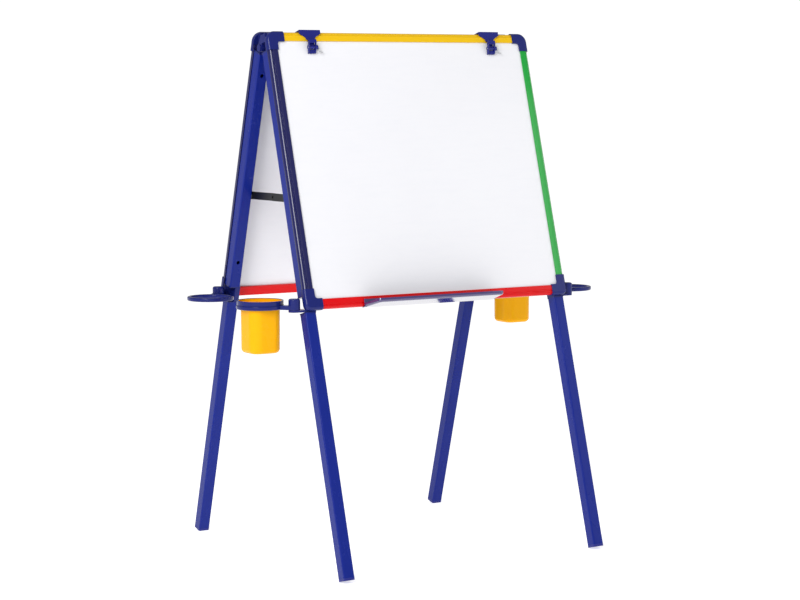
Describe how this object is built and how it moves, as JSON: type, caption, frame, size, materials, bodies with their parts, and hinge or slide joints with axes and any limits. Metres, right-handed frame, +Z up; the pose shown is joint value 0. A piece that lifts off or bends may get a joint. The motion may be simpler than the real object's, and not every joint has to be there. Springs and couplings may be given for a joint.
{
  "type": "kids easel",
  "caption": "Folding double-sided kids easel with two hinged dry-erase boards on leaning tube frames, swing-out cup rings, lift-out cups, paper clips and a pen tray",
  "frame": {"origin": "on the floor, midway between the four feet", "axes": "+X to the right seen from the front board, +Y from the front board to the back board, +Z up"},
  "size_m": [0.8686, 0.6594, 1.0972],
  "materials": {
    "tube_blue": "smooth gloss paint",
    "fitting_blue": "glossy moulding",
    "tray_blue": "high gloss",
    "rail_navy": "glossy",
    "rail_green": "glossy",
    "rail_yellow": "glossy",
    "rail_red": "glossy",
    "board_white": "dry-erase",
    "cup_yellow": "glossy",
    "stay_black": "satin",
    "steel": "zinc plated",
    "foot_plastic": "matt",
    "clip_plastic": "glossy"
  },
  "bodies": {
    "front_frame": {"front_left_upper_tube": "tube_blue", "front_left_leg": "tube_blue", "front_left_foot": "foot_plastic", "front_left_rail": "rail_navy", "front_top_left_corner": "fitting_blue", "front_bottom_left_corner": "fitting_blue", "front_right_upper_tube": "tube_blue", "front_right_leg": "tube_blue", "front_right_foot": "foot_plastic", "front_right_rail": "rail_green", "front_top_right_corner": "fitting_blue", "front_bottom_right_corner": "fitting_blue", "front_top_rail": "rail_yellow", "front_bottom_rail": "rail_red", "front_board": "board_white", "front_frame_screws": "steel", "front_ring_pins": "steel", "front_stay_rivets": "steel", "hinge_pins": "fitting_blue", "pen_tray": "tray_blue"},
    "back_frame": {"back_left_upper_tube": "tube_blue", "back_left_leg": "tube_blue", "back_left_foot": "foot_plastic", "back_left_rail": "rail_navy", "back_top_left_corner": "fitting_blue", "back_bottom_left_corner": "fitting_blue", "back_right_upper_tube": "tube_blue", "back_right_leg": "tube_blue", "back_right_foot": "foot_plastic", "back_right_rail": "rail_green", "back_top_right_corner": "fitting_blue", "back_bottom_right_corner": "fitting_blue", "back_top_rail": "rail_yellow", "back_bottom_rail": "rail_red", "back_board": "board_white", "back_frame_screws": "steel", "back_ring_pins": "steel", "back_stay_rivets": "steel"},
    "front_left_stay": {"front_left_stay_link": "stay_black"},
    "front_left_ring": {"front_left_cup_ring": "fitting_blue"},
    "back_left_stay": {"back_left_stay_link": "stay_black", "left_stay_stud": "steel"},
    "back_left_ring": {"back_left_cup_ring": "fitting_blue"},
    "front_right_stay": {"front_right_stay_link": "stay_black"},
    "front_right_ring": {"front_right_cup_ring": "fitting_blue"},
    "back_right_stay": {"back_right_stay_link": "stay_black", "right_stay_stud": "steel"},
    "back_right_ring": {"back_right_cup_ring": "fitting_blue"},
    "front_cup": {"front_cup": "cup_yellow", "front_cup_band": "fitting_blue"},
    "back_cup": {"back_cup": "cup_yellow", "back_cup_band": "fitting_blue"},
    "left_clip": {"left_clip_body": "clip_plastic"},
    "left_jaw": {"left_clip_jaw": "clip_plastic", "left_clip_wire": "steel"},
    "right_clip": {"right_clip_body": "clip_plastic"},
    "right_jaw": {"right_clip_jaw": "clip_plastic", "right_clip_wire": "steel"}
  },
  "joints": [
    {"name": "fold", "type": "hinge", "parent": "front_frame", "child": "back_frame", "pos_m": [0, 0, 1.06], "axis": [1, 0, 0], "range_deg": [-32, 0]},
    {"name": "front_left_stay_swing", "type": "hinge", "parent": "front_frame", "child": "front_left_stay", "pos_m": [-0.2925, -0.10302, 0.75207], "axis": [1, 0, 0], "range_deg": [0, 66.15]},
    {"name": "front_left_ring_swing", "type": "hinge", "parent": "front_frame", "child": "front_left_ring", "pos_m": [-0.338, -0.16647, 0.53348], "axis": [0, 0, 1], "range_deg": [0, 85]},
    {"name": "back_left_stay_swing", "type": "hinge", "parent": "back_frame", "child": "back_left_stay", "pos_m": [-0.2925, 0.10302, 0.75207], "axis": [1, 0, 0], "range_deg": [-66.15, 0]},
    {"name": "back_left_ring_swing", "type": "hinge", "parent": "back_frame", "child": "back_left_ring", "pos_m": [-0.338, 0.16647, 0.53348], "axis": [0, 0, 1], "range_deg": [-85, 0]},
    {"name": "front_right_stay_swing", "type": "hinge", "parent": "front_frame", "child": "front_right_stay", "pos_m": [0.2925, -0.10302, 0.75207], "axis": [1, 0, 0], "range_deg": [0, 66.15]},
    {"name": "front_right_ring_swing", "type": "hinge", "parent": "front_frame", "child": "front_right_ring", "pos_m": [0.338, -0.16647, 0.53348], "axis": [0, 0, 1], "range_deg": [-85, 0]},
    {"name": "back_right_stay_swing", "type": "hinge", "parent": "back_frame", "child": "back_right_stay", "pos_m": [0.2925, 0.10302, 0.75207], "axis": [1, 0, 0], "range_deg": [-66.15, 0]},
    {"name": "back_right_ring_swing", "type": "hinge", "parent": "back_frame", "child": "back_right_ring", "pos_m": [0.338, 0.16647, 0.53348], "axis": [0, 0, 1], "range_deg": [0, 85]},
    {"name": "front_cup_lift", "type": "slide", "parent": "front_left_ring", "child": "front_cup", "axis": [0, 0, 1], "range_m": [0, 0.11]},
    {"name": "back_cup_lift", "type": "slide", "parent": "back_right_ring", "child": "back_cup", "axis": [0, 0, 1], "range_m": [0, 0.11]},
    {"name": "left_clip_slide", "type": "slide", "parent": "front_frame", "child": "left_clip", "axis": [1, 0, 0], "range_m": [-0.03, 0.19]},
    {"name": "left_jaw_open", "type": "hinge", "parent": "left_clip", "child": "left_jaw", "pos_m": [-0.223, -0.04318, 1.06125], "axis": [1, 0, 0], "range_deg": [-15, 0], "stiffness_Nm_per_rad": 0.05},
    {"name": "right_clip_slide", "type": "slide", "parent": "front_frame", "child": "right_clip", "axis": [1, 0, 0], "range_m": [-0.19, 0.03]},
    {"name": "right_jaw_open", "type": "hinge", "parent": "right_clip", "child": "right_jaw", "pos_m": [0.223, -0.04318, 1.06125], "axis": [1, 0, 0], "range_deg": [-15, 0], "stiffness_Nm_per_rad": 0.05}
  ],
  "couplings": [
    {"joint": "front_left_stay_swing", "follows": "fold", "ratio": -2.066},
    {"joint": "front_left_ring_swing", "follows": "fold", "ratio": -2.656},
    {"joint": "back_left_stay_swing", "follows": "fold", "ratio": 2.066},
    {"joint": "back_left_ring_swing", "follows": "fold", "ratio": 2.656},
    {"joint": "front_right_stay_swing", "follows": "fold", "ratio": -2.066},
    {"joint": "front_right_ring_swing", "follows": "fold", "ratio": 2.656},
    {"joint": "back_right_stay_swing", "follows": "fold", "ratio": 2.066},
    {"joint": "back_right_ring_swing", "follows": "fold", "ratio": -2.656}
  ]
}
